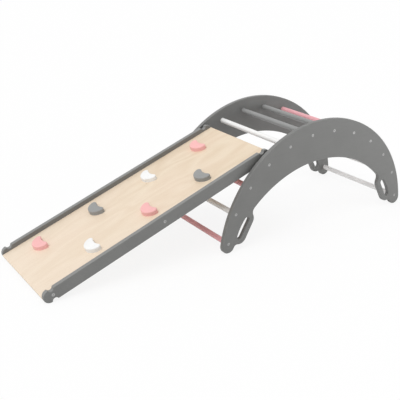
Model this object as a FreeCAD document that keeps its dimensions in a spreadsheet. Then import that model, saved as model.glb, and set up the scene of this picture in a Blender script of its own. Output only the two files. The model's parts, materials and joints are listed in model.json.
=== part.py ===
import FreeCAD, Part
import math
import os
import Sketcher
from FreeCAD import Placement, Rotation, Vector

# Climbing arch with a hook-on ramp. Millimetres and degrees.
# The origin is on the floor under the middle of the arch. The ramp comes down towards -X, and +Z is up.

os.makedirs("parts", exist_ok=True)
doc = FreeCAD.newDocument("ClimbingArch")

# Driving dimensions
SIZES = {
    "arch_radius": 500,
    "arch_height": 468,
    "arch_width": 480,
    "opening_height": 301,
    "panel_thickness": 18,
    "panel_round": 2.5,
    "foot_radius": 29,
    "foot_hollow": 15,
    "slot_width": 22,
    "slot_span": 72,
    "slot_angle": 61,
    "slot_inset": 70.5,
    "slot_height": 91,
    "slot_bow": 220,
    "grip_bar": 23,
    "grip_hollow": 25,
    "rung_diameter": 22,
    "rung_pitch": 13.7,
    "rung_inset": 52,
    "rung_margin": 7,
    "rung_chamfer": 1,
    "foot_rung_height": 40,
    "socket_depth": 8,
    "seat_clearance": 0.05,
    "rail_length": 1030,
    "rail_height": 50,
    "rail_thickness": 18,
    "rail_round": 3,
    "rail_gap": 11,
    "groove_depth": 5,
    "hook_offset": 37,
    "hook_depth": 9.5,
    "hook_clearance": 0.05,
    "hook_tip_round": 3,
    "hook_shoulder_round": 4,
    "board_thickness": 12,
    "board_round": 3,
    "hold_radius": 42,
    "hold_bite_radius": 52,
    "hold_tip_round": 12,
    "hold_thickness": 18,
    "hold_round": 4,
    "hold_spacing": 127,
    "hold_rise": 10,
    "hold_edge": 88,
    "screw_head": 12,
    "screw_shank": 5,
    "screw_length": 50,
    "screw_socket": 4,
    "screw_socket_depth": 2.5,
    "hold_screw_head": 8,
    "hold_screw_shank": 4,
    "hold_screw_length": 25,
    "hold_screw_socket": 3,
    "hold_screw_socket_depth": 1.6,
    "hold_screw_spread": 18,
    "pilot_room": 1,
}

RUNG_COUNT = 12
HOOK_RUNG = 4
HOLD_COUNT = 7
COUNTERSINK_ANGLE = 90
RIGHT, LEFT = -1, 1
FLATNESS = 1e-4

# Sizes that follow from the driving dimensions
WORKED_OUT = {
    "inner_width": "arch_width - 2 * panel_thickness",
    "outer_centre": "arch_height - arch_radius",
    "opening_centre": "opening_height - arch_radius",
    "foot_x": "sqrt((arch_radius - foot_radius)^2 - (foot_radius - outer_centre)^2)",
    "slot_low_x": "foot_x - slot_inset + slot_span / 2 * cos(slot_angle)",
    "slot_low_z": "slot_height - slot_span / 2 * sin(slot_angle)",
    "slot_high_x": "foot_x - slot_inset - slot_span / 2 * cos(slot_angle)",
    "slot_high_z": "slot_height + slot_span / 2 * sin(slot_angle)",
    "grip_radius": "slot_width / 2 + grip_bar",
    "rung_circle": "arch_radius - rung_margin",
    "rung_centre": "arch_height - rung_inset - rung_circle",
    "rung_length": "inner_width + 2 * socket_depth",
    "socket_diameter": "rung_diameter + 2 * seat_clearance",
    "sink_diameter": "screw_head + 2 * seat_clearance",
    "pilot_diameter": "screw_shank + 2 * seat_clearance",
    "rung_pilot_depth": "screw_length - panel_thickness + socket_depth + pilot_room",
    "ramp_width": "inner_width - 2 * rail_gap",
    "rail_face": "ramp_width / 2 - rail_thickness",
    "hold_column": "rail_face - hold_edge",
    "board_width": "2 * (rail_face + groove_depth - seat_clearance)",
    "board_pilot_depth": "screw_length - rail_thickness + groove_depth + pilot_room",
    "groove_width": "board_thickness + 2 * seat_clearance",
    "head_radius": "rail_height / 2",
    "head_x": "rail_length / 2 - head_radius",
    "notch_radius": "rung_diameter / 2 + hook_clearance",
    "notch_x": "rail_length / 2 - hook_offset",
    "notch_z": "rail_height / 2 - hook_depth + notch_radius",
    "hold_screw_row": "hold_radius / 2",
    "hold_sink_diameter": "hold_screw_head + 2 * seat_clearance",
    "hold_pilot_diameter": "hold_screw_shank + 2 * seat_clearance",
    "hold_pilot_depth": "hold_screw_length - board_thickness + pilot_room",
}


def rung_places():
    """Formulas for the height and place of each rung, counted from the foot under the ramp."""
    places = {}
    for number in range(1, RUNG_COUNT + 1):
        steps = number - (RUNG_COUNT + 1) / 2
        places[f"rung_x_{number}"] = f"rung_circle * sin({steps} * rung_pitch)"
        places[f"rung_z_{number}"] = f"rung_centre + rung_circle * cos({steps} * rung_pitch)"
    for number, side in ((1, "-"), (RUNG_COUNT, "")):
        places[f"rung_x_{number}"] = f"{side}foot_x"
        places[f"rung_z_{number}"] = "foot_rung_height"
    return places


def ramp_places():
    """Formulas for the ramp's slope and middle: its low heads lie on the floor, its upper notches on a rung."""
    rung_x = f"rung_x_{HOOK_RUNG}"
    rung_z = f"rung_z_{HOOK_RUNG}"
    return {
        "hook_reach": "head_x + notch_x",
        "hook_rise": f"asin(({rung_z} - head_radius) / sqrt(hook_reach^2 + notch_z^2))",
        "ramp_angle": "hook_rise + atan(notch_z / hook_reach)",
        "ramp_x": f"{rung_x} - notch_x * cos(ramp_angle) - notch_z * sin(ramp_angle)",
        "ramp_z": f"{rung_z} - notch_x * sin(ramp_angle) + notch_z * cos(ramp_angle)",
    }


sheet = doc.addObject("Spreadsheet::Sheet", "Sizes")
cells = {name: str(number) for name, number in SIZES.items()}
for formulas in (WORKED_OUT, rung_places(), ramp_places()):
    cells.update({name: f"={formula}" for name, formula in formulas.items()})
for row, (name, content) in enumerate(cells.items(), start=1):
    sheet.set(f"A{row}", name)
    sheet.set(f"B{row}", content)
    sheet.setAlias(f"B{row}", name)
doc.recompute()


def number_of(quantity):
    return float(getattr(quantity, "Value", quantity))


def size(name):
    return number_of(sheet.get(name))


def point(x_name, z_name):
    return Vector(size(x_name), size(z_name), 0)


# Drawing helpers
START, END, CENTRE = range(1, 4)
ORIGIN = (-1, 1)
ACROSS_AXIS, UP_AXIS = -1, -2


def new_body(label):
    body = doc.addObject("PartDesign::Body", label)
    body.Label = label
    return body


def plane_of(body, role):
    return [feature for feature in body.Origin.OriginFeatures if feature.Role == role][0]


def new_sketch(body, name, role, offset=None):
    """A sketch on one of the body's own planes, moved along the plane's normal by a size if one is given."""
    sketch = body.newObject("Sketcher::SketchObject", name)
    sketch.AttachmentSupport = (plane_of(body, role), [""])
    sketch.MapMode = "FlatFace"
    if offset:
        sketch.setExpression("AttachmentOffset.Base.z", offset)
    return sketch


def drive(sketch, expression, kind, *places):
    """A dimension that follows the size sheet."""
    start_value = number_of(sketch.evalExpression(expression))
    number = sketch.addConstraint(Sketcher.Constraint(kind, *places, start_value))
    sketch.setExpression(f"Constraints[{number}]", expression)


def locate(sketch, geometry, end, across, up):
    drive(sketch, across, "DistanceX", *ORIGIN, geometry, end)
    drive(sketch, up, "DistanceY", *ORIGIN, geometry, end)


def line(sketch, start, end):
    return sketch.addGeometry(Part.LineSegment(start, end), False)


def arc(sketch, centre, radius, start, end):
    """An arc that runs counter-clockwise from start to end."""
    first = math.atan2(start.y - centre.y, start.x - centre.x)
    last = math.atan2(end.y - centre.y, end.x - centre.x)
    if last < first:
        last += 2 * math.pi
    circle = Part.Circle(centre, Vector(0, 0, 1), radius)
    return sketch.addGeometry(Part.ArcOfCircle(circle, first, last), False)


def hole_circle(sketch, diameter, across, up):
    """A circle of a named diameter, at a place that the size sheet gives."""
    radius = number_of(sketch.evalExpression(diameter)) / 2
    centre = Vector(*[number_of(sketch.evalExpression(place)) for place in (across, up)], 0)
    circle = sketch.addGeometry(Part.Circle(centre, Vector(0, 0, 1), radius), False)
    drive(sketch, diameter, "Diameter", circle)
    for kind, place, axis in (("DistanceX", across, UP_AXIS), ("DistanceY", up, ACROSS_AXIS)):
        if place == "0":
            sketch.addConstraint(Sketcher.Constraint("PointOnObject", circle, CENTRE, axis))
        else:
            drive(sketch, place, kind, *ORIGIN, circle, CENTRE)


def closed_outline(sketch, corners):
    """Straight sides round a closed outline. Each side ends at the corner of the same number."""
    numbers = range(len(corners))
    sides = [line(sketch, corners[number - 1], corners[number]) for number in numbers]
    for number in numbers:
        meet(sketch, sides[number - 1], END, sides[number], START)
    return sides


def rectangle(sketch, length, width):
    """A rectangle centred on the sketch's origin."""
    half_length = number_of(sketch.evalExpression(length)) / 2
    half_width = number_of(sketch.evalExpression(width)) / 2
    corners = [Vector(x * half_length, y * half_width, 0) for x, y in ((-1, -1), (1, -1), (1, 1), (-1, 1))]
    left, bottom, right, top = closed_outline(sketch, corners)
    for side in (bottom, top):
        sketch.addConstraint(Sketcher.Constraint("Horizontal", side))
    for side in (left, right):
        sketch.addConstraint(Sketcher.Constraint("Vertical", side))
    sketch.addConstraint(Sketcher.Constraint("Symmetric", bottom, START, right, END, *ORIGIN))
    drive(sketch, length, "DistanceX", bottom, START, bottom, END)
    drive(sketch, width, "DistanceY", right, START, right, END)


def hexagon(sketch, across_flats):
    """A regular hexagon round the sketch's origin."""
    corner_reach = f"{across_flats} / 2 / cos(30)"
    reach = number_of(sketch.evalExpression(corner_reach))
    turns = [math.radians(60 * corner) for corner in range(6)]
    corners = [Vector(reach * math.cos(turn), reach * math.sin(turn), 0) for turn in turns]
    guide = sketch.addGeometry(Part.Circle(Vector(0, 0, 0), Vector(0, 0, 1), reach), True)
    meet(sketch, guide, CENTRE, *ORIGIN)
    drive(sketch, corner_reach, "Radius", guide)
    sides = closed_outline(sketch, corners)
    for side in sides:
        lie_on(sketch, side, END, guide)
    for side in sides[1:]:
        sketch.addConstraint(Sketcher.Constraint("Equal", sides[0], side))
    lie_on(sketch, sides[0], END, ACROSS_AXIS)


def meet(sketch, first, first_end, second, second_end):
    sketch.addConstraint(Sketcher.Constraint("Coincident", first, first_end, second, second_end))


def flow(sketch, first, first_end, second, second_end):
    """Two edges that meet without a corner."""
    sketch.addConstraint(Sketcher.Constraint("Tangent", first, first_end, second, second_end))


def lie_on(sketch, geometry, end, axis):
    sketch.addConstraint(Sketcher.Constraint("PointOnObject", geometry, end, axis))


def toward(start, target, distance):
    return start + (target - start).normalize() * distance


def crossing(first, first_reach, second, second_reach, turn):
    """The point at set distances from two points, on the left of the way between them for turn 1."""
    gap = second - first
    along = (first_reach**2 - second_reach**2 + gap.Length**2) / (2 * gap.Length)
    aside = math.sqrt(first_reach**2 - along**2)
    way = gap * (1 / gap.Length)
    return first + way * along + Vector(-way.y, way.x, 0) * aside * turn


def pad(body, name, sketch, thickness, both_ways=False):
    feature = body.newObject("PartDesign::Pad", name)
    feature.Profile = sketch
    feature.SideType = "Symmetric" if both_ways else "One side"
    feature.setExpression("Length", thickness)
    doc.recompute()
    return feature


def pocket(body, name, sketch, depth, reverse=False):
    feature = body.newObject("PartDesign::Pocket", name)
    feature.Profile = sketch
    feature.Reversed = reverse
    feature.setExpression("Length", depth)
    doc.recompute()
    return feature


def sunk_hole(body, name, sketch, diameter, sink, reverse=False):
    """Holes right through, with a countersink where the screw heads sit."""
    doc.recompute()
    feature = body.newObject("PartDesign::Hole", name)
    feature.Profile = sketch
    feature.Reversed = reverse
    feature.ThreadType = "None"
    feature.DepthType = "ThroughAll"
    feature.HoleCutType = "Countersink"
    feature.HoleCutCustomValues = True
    feature.HoleCutCountersinkAngle = COUNTERSINK_ANGLE
    feature.setExpression("Diameter", diameter)
    feature.setExpression("HoleCutDiameter", sink)
    doc.recompute()
    return feature


def mirrored(body, name, role, *features):
    feature = body.newObject("PartDesign::Mirrored", name)
    feature.Originals = list(features)
    feature.MirrorPlane = (plane_of(body, role), [""])
    body.Tip = feature
    doc.recompute()
    return feature


def rounded(body, name, base, radius, chosen):
    """Rounds the edges of the base feature that the test picks."""
    feature = body.newObject("PartDesign::Fillet", name)
    edges = [f"Edge{number}" for number, edge in enumerate(base.Shape.Edges, start=1) if chosen(edge)]
    feature.Base = (base, edges)
    feature.setExpression("Radius", radius)
    doc.recompute()
    return feature


def is_rim(edge):
    """An edge that lies in one of the two flat faces that look sideways."""
    return edge.BoundBox.YLength < FLATNESS


def facing(side):
    """The turn about the upright axis that makes a right-hand piece a left-hand one."""
    return 0 if side == RIGHT else 180


# Side panels
def panel_outline(sketch):
    """Half of a panel: arch edge, round foot, hand grip and the edge of the crawl opening, in smooth arcs."""
    radius = size("arch_radius")
    foot_radius = size("foot_radius")
    foot_hollow = size("foot_hollow")
    grip_radius = size("grip_radius")
    grip_hollow = size("grip_hollow")
    crown = Vector(0, size("arch_height"), 0)
    lintel = Vector(0, size("opening_height"), 0)
    arch_centre = Vector(0, size("outer_centre"), 0)
    opening_centre = Vector(0, size("opening_centre"), 0)
    foot = point("foot_x", "foot_radius")
    low = point("slot_low_x", "slot_low_z")
    high = point("slot_high_x", "slot_high_z")
    hollow_low = crossing(foot, foot_radius + foot_hollow, low, grip_radius + foot_hollow, 1)
    hollow_high = crossing(opening_centre, radius - grip_hollow, high, grip_radius + grip_hollow, 1)
    way = (high - low).normalize()
    inward = Vector(-way.y, way.x, 0)

    heel = toward(arch_centre, foot, radius)
    toe = toward(foot, hollow_low, foot_radius)
    grip_base = toward(low, hollow_low, grip_radius)
    grip_top = toward(high, hollow_high, grip_radius)
    shoulder = toward(opening_centre, hollow_high, radius)

    middle = line(sketch, lintel, crown)
    arch_edge = arc(sketch, arch_centre, radius, heel, crown)
    foot_edge = arc(sketch, foot, foot_radius, toe, heel)
    foot_bay = arc(sketch, hollow_low, foot_hollow, toe, grip_base)
    grip_low = arc(sketch, low, grip_radius, low + inward * grip_radius, grip_base)
    grip_side = line(sketch, low + inward * grip_radius, high + inward * grip_radius)
    grip_high = arc(sketch, high, grip_radius, grip_top, high + inward * grip_radius)
    grip_bay = arc(sketch, hollow_high, grip_hollow, grip_top, shoulder)
    opening_edge = arc(sketch, opening_centre, radius, shoulder, lintel)

    flow(sketch, arch_edge, START, foot_edge, END)
    flow(sketch, foot_edge, START, foot_bay, START)
    flow(sketch, foot_bay, END, grip_low, END)
    flow(sketch, grip_low, START, grip_side, START)
    flow(sketch, grip_side, END, grip_high, END)
    flow(sketch, grip_high, START, grip_bay, START)
    flow(sketch, grip_bay, END, opening_edge, START)
    meet(sketch, opening_edge, END, middle, START)
    meet(sketch, arch_edge, END, middle, END)
    for geometry, end in ((middle, START), (middle, END), (arch_edge, CENTRE), (opening_edge, CENTRE)):
        lie_on(sketch, geometry, end, UP_AXIS)
    drive(sketch, "Sizes.opening_height", "DistanceY", *ORIGIN, middle, START)
    drive(sketch, "Sizes.arch_height", "DistanceY", *ORIGIN, middle, END)
    drive(sketch, "Sizes.foot_radius", "DistanceY", *ORIGIN, foot_edge, CENTRE)
    locate(sketch, grip_low, CENTRE, "Sizes.slot_low_x", "Sizes.slot_low_z")
    locate(sketch, grip_high, CENTRE, "Sizes.slot_high_x", "Sizes.slot_high_z")
    for edge, name in (
        (arch_edge, "arch_radius"),
        (opening_edge, "arch_radius"),
        (foot_edge, "foot_radius"),
        (foot_bay, "foot_hollow"),
        (grip_low, "grip_radius"),
        (grip_high, "grip_radius"),
        (grip_bay, "grip_hollow"),
    ):
        drive(sketch, f"Sizes.{name}", "Radius", edge)
    hand_slot(sketch, low, high, inward, grip_low, grip_high)


def hand_slot(sketch, low, high, inward, grip_low, grip_high):
    """The slot for a hand: straight beside the grip bar and slightly bowed on the other side."""
    radius = size("slot_width") / 2
    bow = size("slot_bow")
    bow_centre = crossing(low, bow - radius, high, bow - radius, 1)
    low_turn = toward(bow_centre, low, bow)
    high_turn = toward(bow_centre, high, bow)

    bar_side = line(sketch, low + inward * radius, high + inward * radius)
    low_end = arc(sketch, low, radius, low + inward * radius, low_turn)
    high_end = arc(sketch, high, radius, high_turn, high + inward * radius)
    bowed_side = arc(sketch, bow_centre, bow, low_turn, high_turn)

    flow(sketch, bar_side, START, low_end, START)
    flow(sketch, bar_side, END, high_end, END)
    flow(sketch, low_end, END, bowed_side, START)
    flow(sketch, bowed_side, END, high_end, START)
    meet(sketch, low_end, CENTRE, grip_low, CENTRE)
    meet(sketch, high_end, CENTRE, grip_high, CENTRE)
    drive(sketch, "Sizes.slot_width / 2", "Radius", low_end)
    drive(sketch, "Sizes.slot_width / 2", "Radius", high_end)
    drive(sketch, "Sizes.slot_bow", "Radius", bowed_side)


def side_panel(label, side):
    """A panel with its inner face on the body's XZ plane. Both panels are the same, one of them turned round."""
    body = new_body(label)
    outline = new_sketch(body, f"{label}_outline", "XZ_Plane")
    panel_outline(outline)
    half = pad(body, f"{label}_half", outline, "Sizes.panel_thickness")
    whole = mirrored(body, f"{label}_whole", "YZ_Plane", half)
    rounded(body, f"{label}_edges", whole, "Sizes.panel_round", is_rim)

    sockets = new_sketch(body, f"{label}_sockets", "XZ_Plane")
    screws = new_sketch(body, f"{label}_screws", "XZ_Plane", "Sizes.panel_thickness")
    for number in range(RUNG_COUNT // 2 + 1, RUNG_COUNT + 1):
        place = (f"Sizes.rung_x_{number}", f"Sizes.rung_z_{number}")
        hole_circle(sockets, "Sizes.socket_diameter", *place)
        hole_circle(screws, "Sizes.pilot_diameter", *place)
    socket_cut = pocket(body, f"{label}_socket_cut", sockets, "Sizes.socket_depth", reverse=True)
    screw_cut = sunk_hole(body, f"{label}_screw_cut", screws, "Sizes.pilot_diameter", "Sizes.sink_diameter")
    mirrored(body, f"{label}_all_holes", "YZ_Plane", socket_cut, screw_cut)

    place = f"vector(0; {side} * Sizes.inner_width / 2; 0)"
    body.setExpression("Placement", f"placement({place}; rotation(vector(0; 0; 1); {facing(side)}))")
    return body


# Rungs
def rung(number):
    """A round wooden rung with a pilot hole in each end."""
    label = f"rung_{number:02d}"
    body = new_body(label)
    section = new_sketch(body, f"{label}_section", "XZ_Plane")
    hole_circle(section, "Sizes.rung_diameter", "0", "0")
    bar = pad(body, f"{label}_bar", section, "Sizes.rung_length", both_ways=True)
    chamfer = body.newObject("PartDesign::Chamfer", f"{label}_ends")
    chamfer.Base = (bar, [f"Edge{n}" for n, edge in enumerate(bar.Shape.Edges, start=1) if is_rim(edge)])
    chamfer.setExpression("Size", "Sizes.rung_chamfer")
    pilot = new_sketch(body, f"{label}_pilot", "XZ_Plane", "Sizes.rung_length / 2")
    hole_circle(pilot, "Sizes.pilot_diameter", "0", "0")
    pilot_cut = pocket(body, f"{label}_pilot_cut", pilot, "Sizes.rung_pilot_depth")
    mirrored(body, f"{label}_both_pilots", "XZ_Plane", pilot_cut)
    body.setExpression("Placement.Base.x", f"Sizes.rung_x_{number}")
    body.setExpression("Placement.Base.z", f"Sizes.rung_z_{number}")
    return body


# Ramp
def on_ramp(across, along="0", up="0", turn=0):
    """A placement in the ramp's own frame: across it, along the slope and square to it."""
    slope = "Sizes.ramp_angle"
    return (
        f"placement(vector(Sizes.ramp_x + ({along}) * cos({slope}) - ({up}) * sin({slope}); {across}; "
        f"Sizes.ramp_z + ({along}) * sin({slope}) + ({up}) * cos({slope})); "
        f"rotation(vector(0; -1; 0); {slope}) * rotation(vector(0; 0; 1); {turn}))"
    )


def rail_outline(sketch):
    """Half of a rail: a round head, and behind it a notch above and below that hooks on a rung."""
    head_radius = size("head_radius")
    notch_radius = size("notch_radius")
    tip_round = size("hook_tip_round")
    shoulder_round = size("hook_shoulder_round")
    head = Vector(size("head_x"), 0, 0)
    notch = point("notch_x", "notch_z")
    tip = crossing(head, head_radius - tip_round, notch, notch_radius + tip_round, -1)
    shoulder_z = head_radius - shoulder_round
    shoulder_x = notch.x - math.sqrt((notch_radius + shoulder_round) ** 2 - (notch.y - shoulder_z) ** 2)
    shoulder = Vector(shoulder_x, shoulder_z, 0)

    edges = {}
    for side in (1, -1):
        edges[side] = notch_edge(sketch, side, head, notch, tip, shoulder)
    head_low, head_high = [toward(head, Vector(tip.x, side * tip.y, 0), head_radius) for side in (-1, 1)]
    head_edge = arc(sketch, head, head_radius, head_low, head_high)
    middle = line(sketch, Vector(0, -head_radius, 0), Vector(0, head_radius, 0))

    drive(sketch, "Sizes.head_radius", "Radius", head_edge)
    drive(sketch, "Sizes.head_x", "DistanceX", *ORIGIN, head_edge, CENTRE)
    lie_on(sketch, head_edge, CENTRE, ACROSS_AXIS)
    for side, head_end, tip_end, middle_end in ((1, END, START, END), (-1, START, END, START)):
        long_edge, tip_edge = edges[side]
        flow(sketch, head_edge, head_end, tip_edge, tip_end)
        meet(sketch, middle, middle_end, long_edge, START)
        lie_on(sketch, middle, middle_end, UP_AXIS)
        drive(sketch, f"{side} * Sizes.head_radius", "DistanceY", *ORIGIN, middle, middle_end)


def notch_edge(sketch, side, head, notch, tip, shoulder):
    """The long edge, shoulder, notch and rounded tip on one side of the rail."""
    notch_radius = size("notch_radius")
    tip_round = size("hook_tip_round")
    shoulder_round = size("hook_shoulder_round")
    centres = (head, notch, tip, shoulder)
    head, notch, tip, shoulder = [Vector(centre.x, side * centre.y, 0) for centre in centres]
    bend = shoulder + Vector(0, side * shoulder_round, 0)
    lip = toward(notch, shoulder, notch_radius)
    catch = toward(notch, tip, notch_radius)
    brow = toward(head, tip, size("head_radius"))

    long_edge = line(sketch, Vector(0, bend.y, 0), bend)
    ends = (START, END) if side > 0 else (END, START)
    arcs = []
    for centre, radius, pair in (
        (shoulder, shoulder_round, (lip, bend)),
        (notch, notch_radius, (lip, catch)),
        (tip, tip_round, (brow, catch)),
    ):
        arcs.append(arc(sketch, centre, radius, *pair[::side]))
    shoulder_edge, notch_arc, tip_edge = arcs
    flow(sketch, long_edge, END, shoulder_edge, ends[1])
    flow(sketch, shoulder_edge, ends[0], notch_arc, ends[0])
    flow(sketch, notch_arc, ends[1], tip_edge, ends[1])
    sketch.addConstraint(Sketcher.Constraint("Horizontal", long_edge))
    locate(sketch, notch_arc, CENTRE, "Sizes.notch_x", f"{side} * Sizes.notch_z")
    drive(sketch, "Sizes.notch_radius", "Radius", notch_arc)
    drive(sketch, "Sizes.hook_shoulder_round", "Radius", shoulder_edge)
    drive(sketch, "Sizes.hook_tip_round", "Radius", tip_edge)
    return long_edge, tip_edge


def ramp_rail(label, side):
    """A rail with its inner face on the body's XZ plane. Both rails are the same, one of them turned round."""
    body = new_body(label)
    outline = new_sketch(body, f"{label}_outline", "XZ_Plane")
    rail_outline(outline)
    half = pad(body, f"{label}_half", outline, "Sizes.rail_thickness")
    whole = mirrored(body, f"{label}_whole", "YZ_Plane", half)
    rounded(body, f"{label}_edges", whole, "Sizes.rail_round", is_rim)

    groove = new_sketch(body, f"{label}_groove", "XZ_Plane")
    rectangle(groove, "Sizes.rail_length + Sizes.rail_height", "Sizes.groove_width")
    pocket(body, f"{label}_groove_cut", groove, "Sizes.groove_depth", reverse=True)
    screws = new_sketch(body, f"{label}_screws", "XZ_Plane", "Sizes.rail_thickness")
    for along in rail_screw_places():
        hole_circle(screws, "Sizes.pilot_diameter", along, "0")
    sunk_hole(body, f"{label}_screw_cut", screws, "Sizes.pilot_diameter", "Sizes.sink_diameter")

    body.setExpression("Placement", on_ramp(f"{side} * Sizes.rail_face", turn=facing(side)))
    return body


def rail_screw_places():
    return ("-Sizes.notch_x", "0", "Sizes.notch_x")


def hold_places():
    """Where each climbing hold is, along and across the ramp: two staggered columns."""
    places = []
    for number in range(HOLD_COUNT):
        along = f"{number - (HOLD_COUNT - 1) // 2} * Sizes.hold_spacing"
        across = f"{1 if number % 2 == 0 else -1} * Sizes.hold_column"
        places.append((along, across))
    return places


def hold_screw_places():
    """Where the screws of the holds are, along and across the ramp."""
    places = []
    for along, across in hold_places():
        row = f"{along} + Sizes.hold_rise - Sizes.hold_screw_row"
        for side in (-1, 1):
            places.append((row, f"{across} + {side} * Sizes.hold_screw_spread"))
    return places


def runs_across(edge):
    return edge.BoundBox.XLength < FLATNESS and edge.BoundBox.ZLength < FLATNESS


def ramp_board():
    """The plywood board, with its edges in the grooves of the rails."""
    label = "ramp_board"
    body = new_body(label)
    outline = new_sketch(body, f"{label}_outline", "XY_Plane")
    rectangle(outline, "Sizes.rail_length", "Sizes.board_width")
    plate = pad(body, f"{label}_plate", outline, "Sizes.board_thickness", both_ways=True)
    rounded(body, f"{label}_ends", plate, "Sizes.board_round", runs_across)
    pilots = new_sketch(body, f"{label}_pilots", "XZ_Plane", "Sizes.board_width / 2")
    for along in rail_screw_places():
        hole_circle(pilots, "Sizes.pilot_diameter", along, "0")
    pilot_cut = pocket(body, f"{label}_pilot_cut", pilots, "Sizes.board_pilot_depth")
    mirrored(body, f"{label}_both_pilots", "XZ_Plane", pilot_cut)
    screws = new_sketch(body, f"{label}_screws", "XY_Plane", "-Sizes.board_thickness / 2")
    for along, across in hold_screw_places():
        hole_circle(screws, "Sizes.hold_pilot_diameter", along, across)
    sizes = ("Sizes.hold_pilot_diameter", "Sizes.hold_sink_diameter")
    sunk_hole(body, f"{label}_screw_cut", screws, *sizes, reverse=True)
    body.setExpression("Placement", on_ramp("0"))
    return body


def climbing_hold(number, along, across):
    """A half-round block whose straight side is bitten out down to the round's centre, between two broad tips."""
    label = f"climbing_hold_{number}"
    radius = size("hold_radius")
    bite = size("hold_bite_radius")
    tip_round = size("hold_tip_round")
    middle = Vector(0, 0, 0)
    bite_centre = Vector(bite, 0, 0)
    tips = [crossing(middle, radius - tip_round, bite_centre, bite + tip_round, turn) for turn in (1, -1)]
    body = new_body(label)
    outline = new_sketch(body, f"{label}_outline", "XY_Plane")
    back = arc(outline, middle, radius, *[toward(middle, tip, radius) for tip in tips])
    front = arc(outline, bite_centre, bite, *[toward(bite_centre, tip, bite) for tip in tips])
    drive(outline, "Sizes.hold_radius", "Radius", back)
    drive(outline, "Sizes.hold_bite_radius", "Radius", front)
    meet(outline, back, CENTRE, *ORIGIN)
    lie_on(outline, front, CENTRE, ACROSS_AXIS)
    drive(outline, "Sizes.hold_bite_radius", "DistanceX", *ORIGIN, front, CENTRE)
    for tip, joint, order in ((tips[0], START, 1), (tips[1], END, -1)):
        touches = [toward(bite_centre, tip, bite), toward(middle, tip, radius)]
        front_end, back_end = (START, END)[::order]
        edge = arc(outline, tip, tip_round, *touches[::order])
        flow(outline, front, joint, edge, front_end)
        flow(outline, back, joint, edge, back_end)
        drive(outline, "Sizes.hold_tip_round", "Radius", edge)
    block = pad(body, f"{label}_block", outline, "Sizes.hold_thickness")
    top = size("hold_thickness") - FLATNESS
    rounded(body, f"{label}_edges", block, "Sizes.hold_round", lambda edge: edge.BoundBox.ZMin > top)
    pilots = new_sketch(body, f"{label}_pilots", "XY_Plane")
    for side in (-1, 1):
        hole_circle(
            pilots, "Sizes.hold_pilot_diameter", "-Sizes.hold_screw_row", f"{side} * Sizes.hold_screw_spread"
        )
    pocket(body, f"{label}_pilot_cut", pilots, "Sizes.hold_pilot_depth", reverse=True)
    body.setExpression("Placement", on_ramp(across, f"{along} + Sizes.hold_rise", "Sizes.board_thickness / 2"))
    return body


# Screws
def screw(name, prefix):
    """One countersunk screw along +Y, with the top of its head at the origin and a hexagon socket in it."""
    body = new_body(name)
    profile = new_sketch(body, f"{name}_profile", "XY_Plane")
    head = size(f"{prefix}_head") / 2
    shank = size(f"{prefix}_shank") / 2
    length = size(f"{prefix}_length")
    neck = head - shank
    corners = [
        Vector(0, 0, 0),
        Vector(head, 0, 0),
        Vector(shank, neck, 0),
        Vector(shank, length - 2 * shank, 0),
        Vector(0, length, 0),
    ]
    axis, top, cone, side, tip = closed_outline(profile, corners)
    meet(profile, top, START, *ORIGIN)
    profile.addConstraint(Sketcher.Constraint("Horizontal", top))
    profile.addConstraint(Sketcher.Constraint("Vertical", axis))
    profile.addConstraint(Sketcher.Constraint("Vertical", side))
    drive(profile, f"Sizes.{prefix}_head / 2", "DistanceX", *ORIGIN, top, END)
    drive(profile, f"Sizes.{prefix}_shank / 2", "DistanceX", *ORIGIN, cone, END)
    drive(profile, f"(Sizes.{prefix}_head - Sizes.{prefix}_shank) / 2", "DistanceY", *ORIGIN, cone, END)
    drive(profile, f"Sizes.{prefix}_length - Sizes.{prefix}_shank", "DistanceY", *ORIGIN, side, END)
    drive(profile, f"Sizes.{prefix}_length", "DistanceY", *ORIGIN, tip, END)
    turned = body.newObject("PartDesign::Revolution", f"{name}_turned")
    turned.Profile = profile
    turned.ReferenceAxis = (profile, ["V_Axis"])
    doc.recompute()
    socket = new_sketch(body, f"{name}_socket", "XZ_Plane")
    hexagon(socket, f"Sizes.{prefix}_socket")
    pocket(body, f"{name}_socket_cut", socket, f"Sizes.{prefix}_socket_depth")
    return body


def screw_group(label, pattern, places):
    """Screws of one kind as a group of separate solids."""
    group = doc.addObject("Part::Feature", label)
    group.Label = label
    copies = []
    for place in places:
        copy = pattern.Shape.copy()
        copy.Placement = place
        copies.append(copy)
    group.Shape = Part.makeCompound(copies)
    return group


def inward(side):
    return Rotation(Vector(0, 0, 1), facing(side))


def rung_screws(label, pattern, side):
    """The screws through one panel into the rung ends."""
    face = side * size("arch_width") / 2
    places = []
    for number in range(1, RUNG_COUNT + 1):
        spot = Vector(size(f"rung_x_{number}"), face, size(f"rung_z_{number}"))
        places.append(Placement(spot, inward(side)))
    return screw_group(label, pattern, places)


def ramp_frame():
    middle = Vector(size("ramp_x"), 0, size("ramp_z"))
    return Placement(middle, Rotation(Vector(0, -1, 0), size("ramp_angle")))


def rail_screws(pattern):
    """The screws through both rails into the edges of the board."""
    places = []
    for side in (RIGHT, LEFT):
        for along in rail_screw_places():
            spot = Vector(number_of(sheet.evalExpression(along)), side * size("ramp_width") / 2, 0)
            places.append(ramp_frame() * Placement(spot, inward(side)))
    return screw_group("rail_screws", pattern, places)


def hold_screws(pattern):
    """The screws through the board from below into the holds."""
    upright = Rotation(Vector(1, 0, 0), 90)
    places = []
    for along, across in hold_screw_places():
        along_ramp, across_ramp = [number_of(sheet.evalExpression(place)) for place in (along, across)]
        spot = Vector(along_ramp, across_ramp, -size("board_thickness") / 2)
        places.append(ramp_frame() * Placement(spot, upright))
    return screw_group("hold_screws", pattern, places)


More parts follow.
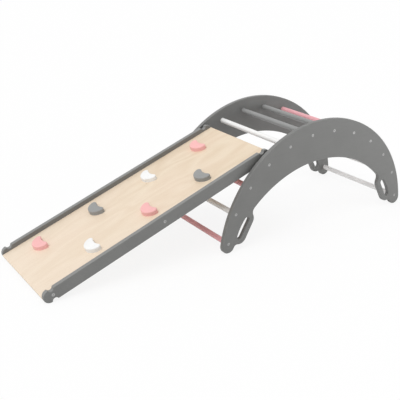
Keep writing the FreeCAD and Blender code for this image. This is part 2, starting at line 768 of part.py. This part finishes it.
# The whole object
pieces = [side_panel("side_panel_right", RIGHT), side_panel("side_panel_left", LEFT)]
pieces += [rung(number) for number in range(1, RUNG_COUNT + 1)]
pieces += [ramp_rail("ramp_rail_right", RIGHT), ramp_rail("ramp_rail_left", LEFT), ramp_board()]
pieces += [climbing_hold(number, *place) for number, place in enumerate(hold_places(), start=1)]
wood_screw = screw("wood_screw", "screw")
short_screw = screw("short_screw", "hold_screw")
doc.recompute()
pieces += [
    rung_screws("rung_screws_right", wood_screw, RIGHT),
    rung_screws("rung_screws_left", wood_screw, LEFT),
    rail_screws(wood_screw),
    hold_screws(short_screw),
]
doc.recompute()

for item in doc.Objects:
    if "Invalid" in item.State or "Error" in item.State:
        raise RuntimeError(f"{item.Label} did not build")
for piece in pieces:
    if piece.Shape.isNull() or not piece.Shape.isValid():
        raise RuntimeError(f"{piece.Label} is not a valid solid")
    piece.Shape.exportStep(f"parts/{piece.Label}.step")
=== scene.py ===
import json
import math

import bpy
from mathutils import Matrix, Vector

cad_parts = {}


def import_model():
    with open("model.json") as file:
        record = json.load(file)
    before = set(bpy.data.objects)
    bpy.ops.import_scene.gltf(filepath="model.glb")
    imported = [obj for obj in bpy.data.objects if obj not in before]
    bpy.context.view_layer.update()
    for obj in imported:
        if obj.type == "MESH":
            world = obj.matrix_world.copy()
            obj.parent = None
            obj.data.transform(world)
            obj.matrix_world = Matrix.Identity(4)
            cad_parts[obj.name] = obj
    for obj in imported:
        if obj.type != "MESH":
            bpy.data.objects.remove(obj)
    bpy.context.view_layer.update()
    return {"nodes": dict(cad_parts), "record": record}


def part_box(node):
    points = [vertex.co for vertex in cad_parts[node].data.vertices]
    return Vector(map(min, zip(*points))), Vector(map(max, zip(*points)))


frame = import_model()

# Climbing arch with a hook-on ramp: finishes, light and camera. Metres and radians.
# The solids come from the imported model. This script gives each of them its finish.

scene = bpy.context.scene
scene.view_settings.view_transform = "Standard"

# Camera fitted to the photograph, whose frame is a square
FRAME_PX = 400
FOCAL_PX = 710.5
CAMERA_PLACE = Vector((-1.9487, -2.2569, 1.2457))
CAMERA_TURN = math.radians(-33.737)
CAMERA_DIP = math.radians(22.181)
SENSOR_MM = 36

# Light
WORLD_STRENGTH = 0.62
KEY_FROM = Vector((-0.52, -0.08, 0.85))
KEY_SPREAD = math.radians(50)
KEY_STRENGTH = 1.50
FILL_PLACE = Vector((1.9, -1.6, 0.4))
FILL_AIM = Vector((0.3, -0.2, 0.25))
FILL_SIZE = 1.2
FILL_WATTS = 11
FLOOR_SIZE = 80
FLOOR_GLOW = 0.86
FLOOR_COLOUR = (0.94, 0.94, 0.94, 1)
PURE_WHITE = (1, 1, 1, 1)
WHITE_STRENGTH = 1.0

# Colours, as reflectances
PANEL_GREY = (0.186, 0.187, 0.182)
LIGHT_GREY = (0.290, 0.294, 0.290)
PINK = (0.90, 0.475, 0.465)
# RUNG_PINK is PINK made darker and bluer: painted shade, matching how the rungs look in the shade under
# the ramp and arch
RUNG_PINK = (0.85, 0.432, 0.465)
WHITE = (0.88, 0.88, 0.87)
BIRCH_LIGHT = (0.805, 0.684, 0.525)
BIRCH_DARK = (0.70, 0.556, 0.390)
BIRCH_WARM = (0.80, 0.640, 0.495)
# Painted light: the birch's colour at the board's low end, which is painted paler there
BIRCH_PAINTED_LIGHT = (0.872, 0.745, 0.622)
END_GRAIN = (0.56, 0.410, 0.265)
ZINC = (0.42, 0.42, 0.415)

# Shades, as factors of a finish's own colour
MOTTLE_SHADES = (0.95, 1.05)
GRAIN_SHADE = 0.84
STIPPLE_SHADE = 1.18
# Used both for paler rubbed edges and for the rails' painted highlight on their upper and lower faces
WEAR_AND_HIGHLIGHT_SHADE = 1.5
FIBRE_SHADE = 0.94
PLY_SHADE = 1.15
CLOUD_SHADES = (0.86, 1.12)

# Sizes of the surface detail
PATCH = 0.11
GRAIN_LONG = 0.16
GRAIN_WIDE = 0.004
STIPPLE = 0.0016
WEAR_WIDTH = 0.004
WEAR_PATCH = 0.012
WARM_LONG = 0.33
FIGURE_LONG = 0.50
FIGURE_WIDE = 0.16
FIGURE_RINGS = 15
FIBRE_LONG = 0.07
FIBRE_WIDE = 0.0013
FLECK_LONG = 0.009
FLECK_WIDE = 0.0008
PLY = 0.00133
CLOUD = 0.006
SCRATCH_LONG = 0.012
SCRATCH_WIDE = 0.0007

# Depth of the relief
GRAIN_DEPTH = 0.00018
STIPPLE_DEPTH = 0.00012
FIGURE_DEPTH = 0.00030
FIBRE_DEPTH = 0.00010
SCRATCH_DEPTH = 0.00004

# How much each layer shows at most
GRAIN_SHOWS = 0.30
STIPPLE_SHOWS = 0.16
FIGURE_SHOWS = 0.85
WARM_SHOWS = 0.45
# Painted light: how much paler the board is painted at its low end, standing in for the light that is
# brighter there
PAINTED_LIGHT_SHOWS = 0.60
FIBRE_SHOWS = 0.32
FLECK_SHOWS = 0.30
PANEL_WEAR = 0.35
RUNG_WEAR = 0.20
HOLD_WEAR = 0.25
# Painted highlight: how much paler the rails' upper and lower faces are painted, standing in for the light
# that falls on them
RAIL_PAINTED_HIGHLIGHT = 0.55

# The part of a value's range over which a layer comes in
FULL_SPAN = (0.0, 1.0)
MOTTLE_SPAN = (0.30, 0.70)
GRAIN_SPAN = (0.35, 0.75)
STIPPLE_SPAN = (0.40, 0.70)
WEAR_SPAN = (0.35, 0.75)
WARM_SPAN = (0.35, 0.65)
FIBRE_SPAN = (0.40, 0.75)
FLECK_SPAN = (0.62, 0.72)
PLY_SPAN = (0.35 * PLY, 0.65 * PLY)
CLOUD_SPAN = (0.30, 0.70)
EDGE_SPAN = (0.995, 0.80)
FACING_SPAN = (0.45, 0.75)

# Gloss: the part of a noise's range that sets it, and roughness from the glossiest spots to the dullest
PAINT_GLOSS_SPAN = (0.25, 0.75)
PAINT_ROUGHNESS = (0.38, 0.52)
PAINT_SPECULAR = 0.42
LACQUER_GLOSS_SPAN = (0.30, 0.70)
LACQUER_ROUGHNESS = (0.40, 0.54)
COAT_WEIGHT = 0.18
COAT_ROUGHNESS = 0.30
ZINC_GLOSS_SPAN = (0.30, 0.70)
ZINC_ROUGHNESS = (0.30, 0.46)

# Noise
NOISE_ROUGHNESS = 0.55
GRAIN_WAVE = 0.4
FIGURE_WAVE = 0.3
BEVEL_SAMPLES = 4

# Numbers of the colour sockets on a Mix node
MIX_FACTOR = 0
MIX_FIRST = 6
MIX_SECOND = 7
MIX_RESULT = 2


def middle(node):
    """The middle of a solid's box."""
    low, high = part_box(node)
    return (low + high) / 2


def ramp_slope():
    """The ramp's slope, from two climbing holds that lie along it."""
    along = middle("climbing_hold_7") - middle("climbing_hold_1")
    return math.atan2(along.z, along.x)


RAMP_SLOPE = ramp_slope()


def along_ramp(point):
    """How far along the ramp's slope a point lies."""
    return point.x * math.cos(RAMP_SLOPE) + point.z * math.sin(RAMP_SLOPE)


# Node helpers

def add(tree, kind, sockets=None, **settings):
    """A new node. A socket's entry is a plain value, or another node's output that is linked to it."""
    made = tree.nodes.new("ShaderNode" + kind)
    for name, value in settings.items():
        setattr(made, name, value)
    for name, value in (sockets or {}).items():
        if isinstance(value, bpy.types.NodeSocket):
            tree.links.new(value, made.inputs[name])
        else:
            made.inputs[name].default_value = value
    return made


def tint(colour, factor=1.0):
    """A colour scaled by a factor and held at white, with its alpha."""
    return tuple(min(channel * factor, 1.0) for channel in colour) + (1.0,)


def even(length):
    """The same length along X, Y and Z."""
    return (length,) * 3


def along_x(length, width):
    """Lengths of a detail that is drawn out along X."""
    return (length, width, width)


def along_y(length, width):
    """Lengths of a detail that is drawn out along Y."""
    return (width, length, width)


def place_on(tree, slope, lengths):
    """Object coordinates turned by a slope about Y, and counted in the given lengths."""
    source = add(tree, "TexCoord").outputs["Object"]
    turned = add(tree, "Mapping", {"Vector": source, "Rotation": (0, slope, 0)}).outputs["Vector"]
    counts = tuple(1 / length for length in lengths)
    return add(tree, "Mapping", {"Vector": turned, "Scale": counts}).outputs["Vector"]


def noise(tree, lengths, detail, slope=0.0, distortion=0.0):
    """A noise value from 0 to 1, with about one feature to each of the given lengths."""
    sockets = {
        "Vector": place_on(tree, slope, lengths),
        "Scale": 1.0,
        "Detail": detail,
        "Roughness": NOISE_ROUGHNESS,
        "Distortion": distortion,
    }
    return add(tree, "TexNoise", sockets).outputs["Fac"]


def spread(tree, value, span, result=FULL_SPAN):
    """A value's span stretched over another range, and held at its ends."""
    sockets = {
        "Value": value,
        "From Min": span[0],
        "From Max": span[1],
        "To Min": result[0],
        "To Max": result[1],
    }
    return add(tree, "MapRange", sockets).outputs["Result"]


def math_of(tree, operation, *values):
    """The result of an operation on one or two values."""
    return add(tree, "Math", dict(enumerate(values)), operation=operation).outputs["Value"]


def blend_of(tree, factor, first, second):
    """Two colours mixed by a factor."""
    sockets = {MIX_FACTOR: factor, MIX_FIRST: first, MIX_SECOND: second}
    return add(tree, "Mix", sockets, data_type="RGBA").outputs[MIX_RESULT]


def layer(tree, value, span, shows, below, colour):
    """A colour laid over what is below it, more so where a value is high in its span."""
    return blend_of(tree, spread(tree, value, span, (0.0, shows)), below, colour)


def bump(tree, height, depth, below=None):
    """A normal bent by a height map whose full range is a real depth."""
    sockets = {"Height": height, "Strength": 1.0, "Distance": depth}
    if below:
        sockets["Normal"] = below
    return add(tree, "Bump", sockets).outputs["Normal"]


def edge_wear(tree):
    """A mask along rounded edges, broken up into rubbed spots."""
    softened = add(tree, "Bevel", {"Radius": WEAR_WIDTH}, samples=BEVEL_SAMPLES).outputs["Normal"]
    plain = add(tree, "NewGeometry").outputs["Normal"]
    level = add(tree, "VectorMath", {0: softened, 1: plain}, operation="DOT_PRODUCT").outputs["Value"]
    edges = spread(tree, level, EDGE_SPAN)
    spots = spread(tree, noise(tree, even(WEAR_PATCH), detail=4), WEAR_SPAN)
    return math_of(tree, "MULTIPLY", edges, spots)


def faces_up_or_down(tree):
    """1 on a ramp piece's faces that lie along the ramp, above and below, and 0 on its sides and ends."""
    normal = add(tree, "TexCoord").outputs["Normal"]
    turned = add(tree, "Mapping", {"Vector": normal, "Rotation": (0, RAMP_SLOPE, 0)}).outputs["Vector"]
    facing = add(tree, "SeparateXYZ", {"Vector": turned}).outputs["Z"]
    return spread(tree, math_of(tree, "ABSOLUTE", facing), FACING_SPAN)


def new_material(name):
    """A new material, its node tree and its surface shader."""
    material = bpy.data.materials.new(name)
    material.use_nodes = True
    shader = material.node_tree.nodes["Principled BSDF"]
    return material, material.node_tree, shader


def connect(tree, shader, **sources):
    """Links outputs to the shader's sockets, whose names are given with underscores."""
    for name, source in sources.items():
        tree.links.new(source, shader.inputs[name.replace("_", " ")])


# Finishes

def painted_wood(name, colour, run_of_grain, slope, wear, painted_highlight=0.0):
    """Satin paint on wood: mottled, with grain showing faintly through, roller stipple and rubbed edges.

    On the rails, the last argument sets how much paler the upper and lower faces are painted: a painted
    highlight, standing in for the light that falls on them.
    """
    material, tree, shader = new_material(name)
    patches = noise(tree, even(PATCH), detail=5)
    grain_lengths = run_of_grain(GRAIN_LONG, GRAIN_WIDE)
    grain = noise(tree, grain_lengths, detail=4, slope=slope, distortion=GRAIN_WAVE)
    stipple = noise(tree, even(STIPPLE), detail=2)

    darker, lighter = [tint(colour, shade) for shade in MOTTLE_SHADES]
    mottled = blend_of(tree, spread(tree, patches, MOTTLE_SPAN), darker, lighter)
    streaked = layer(tree, grain, GRAIN_SPAN, GRAIN_SHOWS, mottled, tint(colour, GRAIN_SHADE))
    speckled = layer(tree, stipple, STIPPLE_SPAN, STIPPLE_SHOWS, streaked, tint(colour, STIPPLE_SHADE))
    rubbed = math_of(tree, "MULTIPLY", edge_wear(tree), wear)
    worn = blend_of(tree, rubbed, speckled, tint(colour, WEAR_AND_HIGHLIGHT_SHADE))
    # Painted highlight: the rails' upper and lower faces are painted paler, standing in for the light that
    # falls on them
    if painted_highlight:
        worn = layer(tree, faces_up_or_down(tree), FULL_SPAN, painted_highlight, worn, tint(colour, WEAR_AND_HIGHLIGHT_SHADE))

    roughness = spread(tree, patches, PAINT_GLOSS_SPAN, PAINT_ROUGHNESS)
    relief = bump(tree, stipple, STIPPLE_DEPTH, bump(tree, grain, GRAIN_DEPTH))
    connect(tree, shader, Base_Color=worn, Roughness=roughness, Normal=relief)
    shader.inputs["Specular IOR Level"].default_value = PAINT_SPECULAR
    return material


def veneer(tree, figure, fibres, distance):
    """The board's faces: figured and clouded, with fibres and short flecks, and painted paler towards the
    low end as painted light.
    """
    flecks = noise(tree, along_x(FLECK_LONG, FLECK_WIDE), detail=1, slope=RAMP_SLOPE)
    patches = noise(tree, along_x(WARM_LONG, PATCH), detail=4, slope=RAMP_SLOPE)
    # Painted light: the board is painted paler towards its low end, standing in for the light that is
    # brighter there
    low_end, high_end = [along_ramp(corner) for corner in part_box("ramp_board")]
    painted_light_share = spread(tree, distance, (low_end, high_end), (PAINTED_LIGHT_SHOWS, 0.0))

    figured = layer(tree, figure, FULL_SPAN, FIGURE_SHOWS, tint(BIRCH_LIGHT), tint(BIRCH_DARK))
    warmed = layer(tree, patches, WARM_SPAN, WARM_SHOWS, figured, tint(BIRCH_WARM))
    with_painted_light = blend_of(tree, painted_light_share, warmed, tint(BIRCH_PAINTED_LIGHT))
    fibrous = layer(tree, fibres, FIBRE_SPAN, FIBRE_SHOWS, with_painted_light, tint(BIRCH_DARK, FIBRE_SHADE))
    return layer(tree, flecks, FLECK_SPAN, FLECK_SHOWS, fibrous, tint(END_GRAIN))


def cut_plies(tree, height):
    """The board's cut ends: plies that are light and dark by turns."""
    ply = math_of(tree, "PINGPONG", height, PLY)
    return blend_of(tree, spread(tree, ply, PLY_SPAN), tint(BIRCH_DARK), tint(END_GRAIN, PLY_SHADE))


def birch_plywood(name):
    """Clear-lacquered birch: veneer on the wide faces, and plies on the cut ends."""
    material, tree, shader = new_material(name)
    figure_lengths = along_x(FIGURE_LONG, FIGURE_WIDE)
    swell = noise(tree, figure_lengths, detail=2, slope=RAMP_SLOPE, distortion=FIGURE_WAVE)
    figure = math_of(tree, "PINGPONG", math_of(tree, "MULTIPLY", swell, FIGURE_RINGS), 1.0)
    fibres = noise(tree, along_x(FIBRE_LONG, FIBRE_WIDE), detail=4, slope=RAMP_SLOPE)
    ramp_place = add(tree, "SeparateXYZ", {"Vector": place_on(tree, RAMP_SLOPE, even(1))}).outputs

    face = veneer(tree, figure, fibres, ramp_place["X"])
    plies = cut_plies(tree, ramp_place["Z"])
    wood = blend_of(tree, faces_up_or_down(tree), plies, face)

    roughness = spread(tree, fibres, LACQUER_GLOSS_SPAN, LACQUER_ROUGHNESS)
    relief = bump(tree, fibres, FIBRE_DEPTH, bump(tree, figure, FIGURE_DEPTH))
    connect(tree, shader, Base_Color=wood, Roughness=roughness, Normal=relief)
    shader.inputs["Coat Weight"].default_value = COAT_WEIGHT
    shader.inputs["Coat Roughness"].default_value = COAT_ROUGHNESS
    return material


def zinc_plate(name):
    """Zinc-plated steel: dull silver with fine scratches and slightly cloudy plating."""
    material, tree, shader = new_material(name)
    clouds = noise(tree, even(CLOUD), detail=4)
    scratches = noise(tree, along_y(SCRATCH_LONG, SCRATCH_WIDE), detail=3)
    darker, lighter = [tint(ZINC, shade) for shade in CLOUD_SHADES]
    plated = blend_of(tree, spread(tree, clouds, CLOUD_SPAN), darker, lighter)

    roughness = spread(tree, scratches, ZINC_GLOSS_SPAN, ZINC_ROUGHNESS)
    relief = bump(tree, scratches, SCRATCH_DEPTH)
    connect(tree, shader, Base_Color=plated, Roughness=roughness, Normal=relief)
    shader.inputs["Metallic"].default_value = 1.0
    return material


FINISHES = {
    "panel": painted_wood("satin_grey_panel", PANEL_GREY, along_x, 0.0, PANEL_WEAR),
    "rail": painted_wood("satin_grey_rail", PANEL_GREY, along_x, RAMP_SLOPE, PANEL_WEAR, RAIL_PAINTED_HIGHLIGHT),
    "birch_plywood": birch_plywood("lacquered_birch"),
    "zinc_screw": zinc_plate("zinc_plate"),
}
PAINTS = {
    "pink_paint": (RUNG_PINK, PINK),
    "white_paint": (WHITE, WHITE),
    "grey_paint": (LIGHT_GREY, LIGHT_GREY),
}
for slot, (on_rungs, on_holds) in PAINTS.items():
    FINISHES[slot, "rung"] = painted_wood(slot + "_rung", on_rungs, along_y, 0.0, RUNG_WEAR)
    FINISHES[slot, "hold"] = painted_wood(slot + "_hold", on_holds, along_x, RAMP_SLOPE, HOLD_WEAR)


def finish_of(node, slot):
    """The finish for a solid. Where it is painted wood, the grain runs along the piece."""
    if slot == "grey_panel_paint":
        return FINISHES["rail" if "rail" in node else "panel"]
    if slot in FINISHES:
        return FINISHES[slot]
    return FINISHES[slot, "rung" if node.startswith("rung") else "hold"]


for part in frame["record"]["subparts"]:
    solid = frame["nodes"][part["node"]]
    solid.data.materials.clear()
    solid.data.materials.append(finish_of(part["node"], part["material_slot"]))


# Stage

def add_object(name, data):
    """A new object in the scene."""
    made = bpy.data.objects.new(name, data)
    scene.collection.objects.link(made)
    return made


def seen_directly(tree):
    """1 where the camera, a reflection or a clear material looks, and 0 for light that falls on things."""
    path = add(tree, "LightPath")
    seen = math_of(tree, "MAXIMUM", path.outputs["Is Camera Ray"], path.outputs["Is Glossy Ray"])
    return math_of(tree, "MAXIMUM", seen, path.outputs["Is Transmission Ray"])


def floor():
    """A wide pale floor that reads as white and keeps a faint shadow."""
    mesh = bpy.data.meshes.new("floor")
    reach = FLOOR_SIZE / 2
    corners = [(-reach, -reach, 0), (reach, -reach, 0), (reach, reach, 0), (-reach, reach, 0)]
    mesh.from_pydata(corners, [], [(0, 1, 2, 3)])
    ground = add_object("floor", mesh)

    material, tree, shader = new_material("pale_floor")
    matt = add(tree, "BsdfDiffuse", {"Color": FLOOR_COLOUR}).outputs["BSDF"]
    white = add(tree, "Emission", {"Color": PURE_WHITE, "Strength": WHITE_STRENGTH}).outputs["Emission"]
    glow = math_of(tree, "MULTIPLY", seen_directly(tree), FLOOR_GLOW)
    surface = add(tree, "MixShader", {0: glow, 1: matt, 2: white}).outputs["Shader"]
    tree.nodes.remove(shader)
    tree.links.new(surface, tree.nodes["Material Output"].inputs["Surface"])
    mesh.materials.append(material)


def world():
    """White where it is seen, and an even soft light on the object."""
    sky = bpy.data.worlds.new("studio")
    sky.use_nodes = True
    tree = sky.node_tree
    background = tree.nodes["Background"]
    background.inputs["Color"].default_value = PURE_WHITE
    strength = spread(tree, seen_directly(tree), FULL_SPAN, (WORLD_STRENGTH, WHITE_STRENGTH))
    tree.links.new(strength, background.inputs["Strength"])
    scene.world = sky


def key_light():
    """A wide, soft and distant lamp above and to the left of the object."""
    lamp = bpy.data.lights.new("key", "SUN")
    lamp.angle = KEY_SPREAD
    lamp.energy = KEY_STRENGTH
    add_object("key", lamp).rotation_euler = KEY_FROM.to_track_quat("Z", "Y").to_euler()


def fill_light():
    """A soft lamp, low down beyond the arch's right end, that lifts that end of the near panel."""
    lamp = bpy.data.lights.new("fill", "AREA")
    lamp.size = FILL_SIZE
    lamp.energy = FILL_WATTS
    holder = add_object("fill", lamp)
    holder.location = FILL_PLACE
    holder.rotation_euler = (FILL_PLACE - FILL_AIM).to_track_quat("Z", "Y").to_euler()


def camera():
    """The photograph's view."""
    lens = bpy.data.cameras.new("photo")
    lens.sensor_width = SENSOR_MM
    lens.lens = FOCAL_PX * SENSOR_MM / FRAME_PX
    holder = add_object("photo", lens)
    holder.location = CAMERA_PLACE
    ahead = math.cos(CAMERA_DIP)
    look = Vector((-math.sin(CAMERA_TURN) * ahead, math.cos(CAMERA_TURN) * ahead, -math.sin(CAMERA_DIP)))
    holder.rotation_euler = look.to_track_quat("-Z", "Y").to_euler()
    scene.camera = holder


floor()
world()
key_light()
fill_light()
camera()
